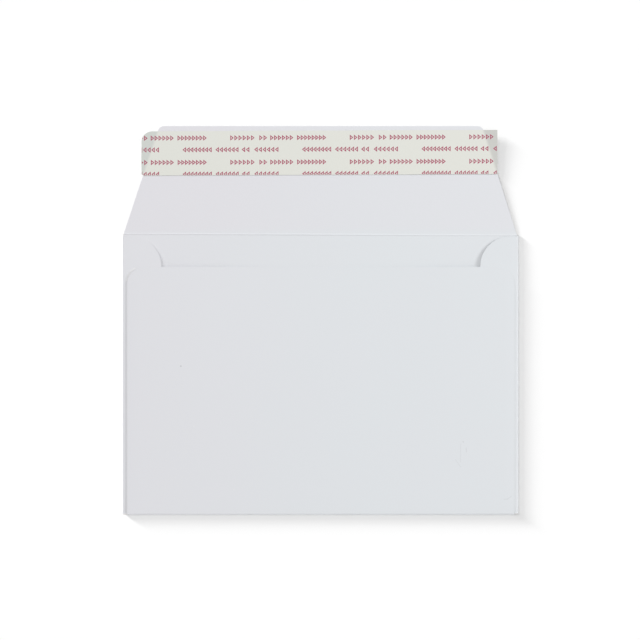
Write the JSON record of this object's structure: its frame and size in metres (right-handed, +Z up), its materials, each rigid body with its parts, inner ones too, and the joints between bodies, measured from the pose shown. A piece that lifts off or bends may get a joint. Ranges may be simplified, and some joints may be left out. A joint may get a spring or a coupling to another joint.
{
  "type": "board envelope",
  "caption": "Flat white solid-board mailing envelope, open, with a tapered closing flap that turns on its crease and carries an adhesive strip under a release liner.",
  "frame": {"origin": "middle of the pocket's underside, the address face, on the table", "axes": "+X along the crease to the right as pictured, +Y from the bottom fold towards the closing flap, +Z up through the back panel"},
  "size_m": [0.229, 0.225, 0.0024],
  "materials": {
    "board": "smooth uncoated white solid board",
    "liner": "thin siliconed release paper, greenish cream, slightly see-through, printed in crimson",
    "adhesive": "clear tacky strip",
    "glue": "dried clear seam glue"
  },
  "bodies": {
    "pocket": {"pocket": "board", "seam_glue_left": "glue", "seam_glue_right": "glue"},
    "flap": {"closing_flap": "board", "flap_adhesive": "adhesive", "release_liner": "liner"}
  },
  "joints": [
    {"name": "flap_crease", "type": "hinge", "parent": "pocket", "child": "flap", "pos_m": [0, 0.081, 0.00168], "axis": [1, 0, 0], "range_deg": [-1.2, 178.8]}
  ]
}
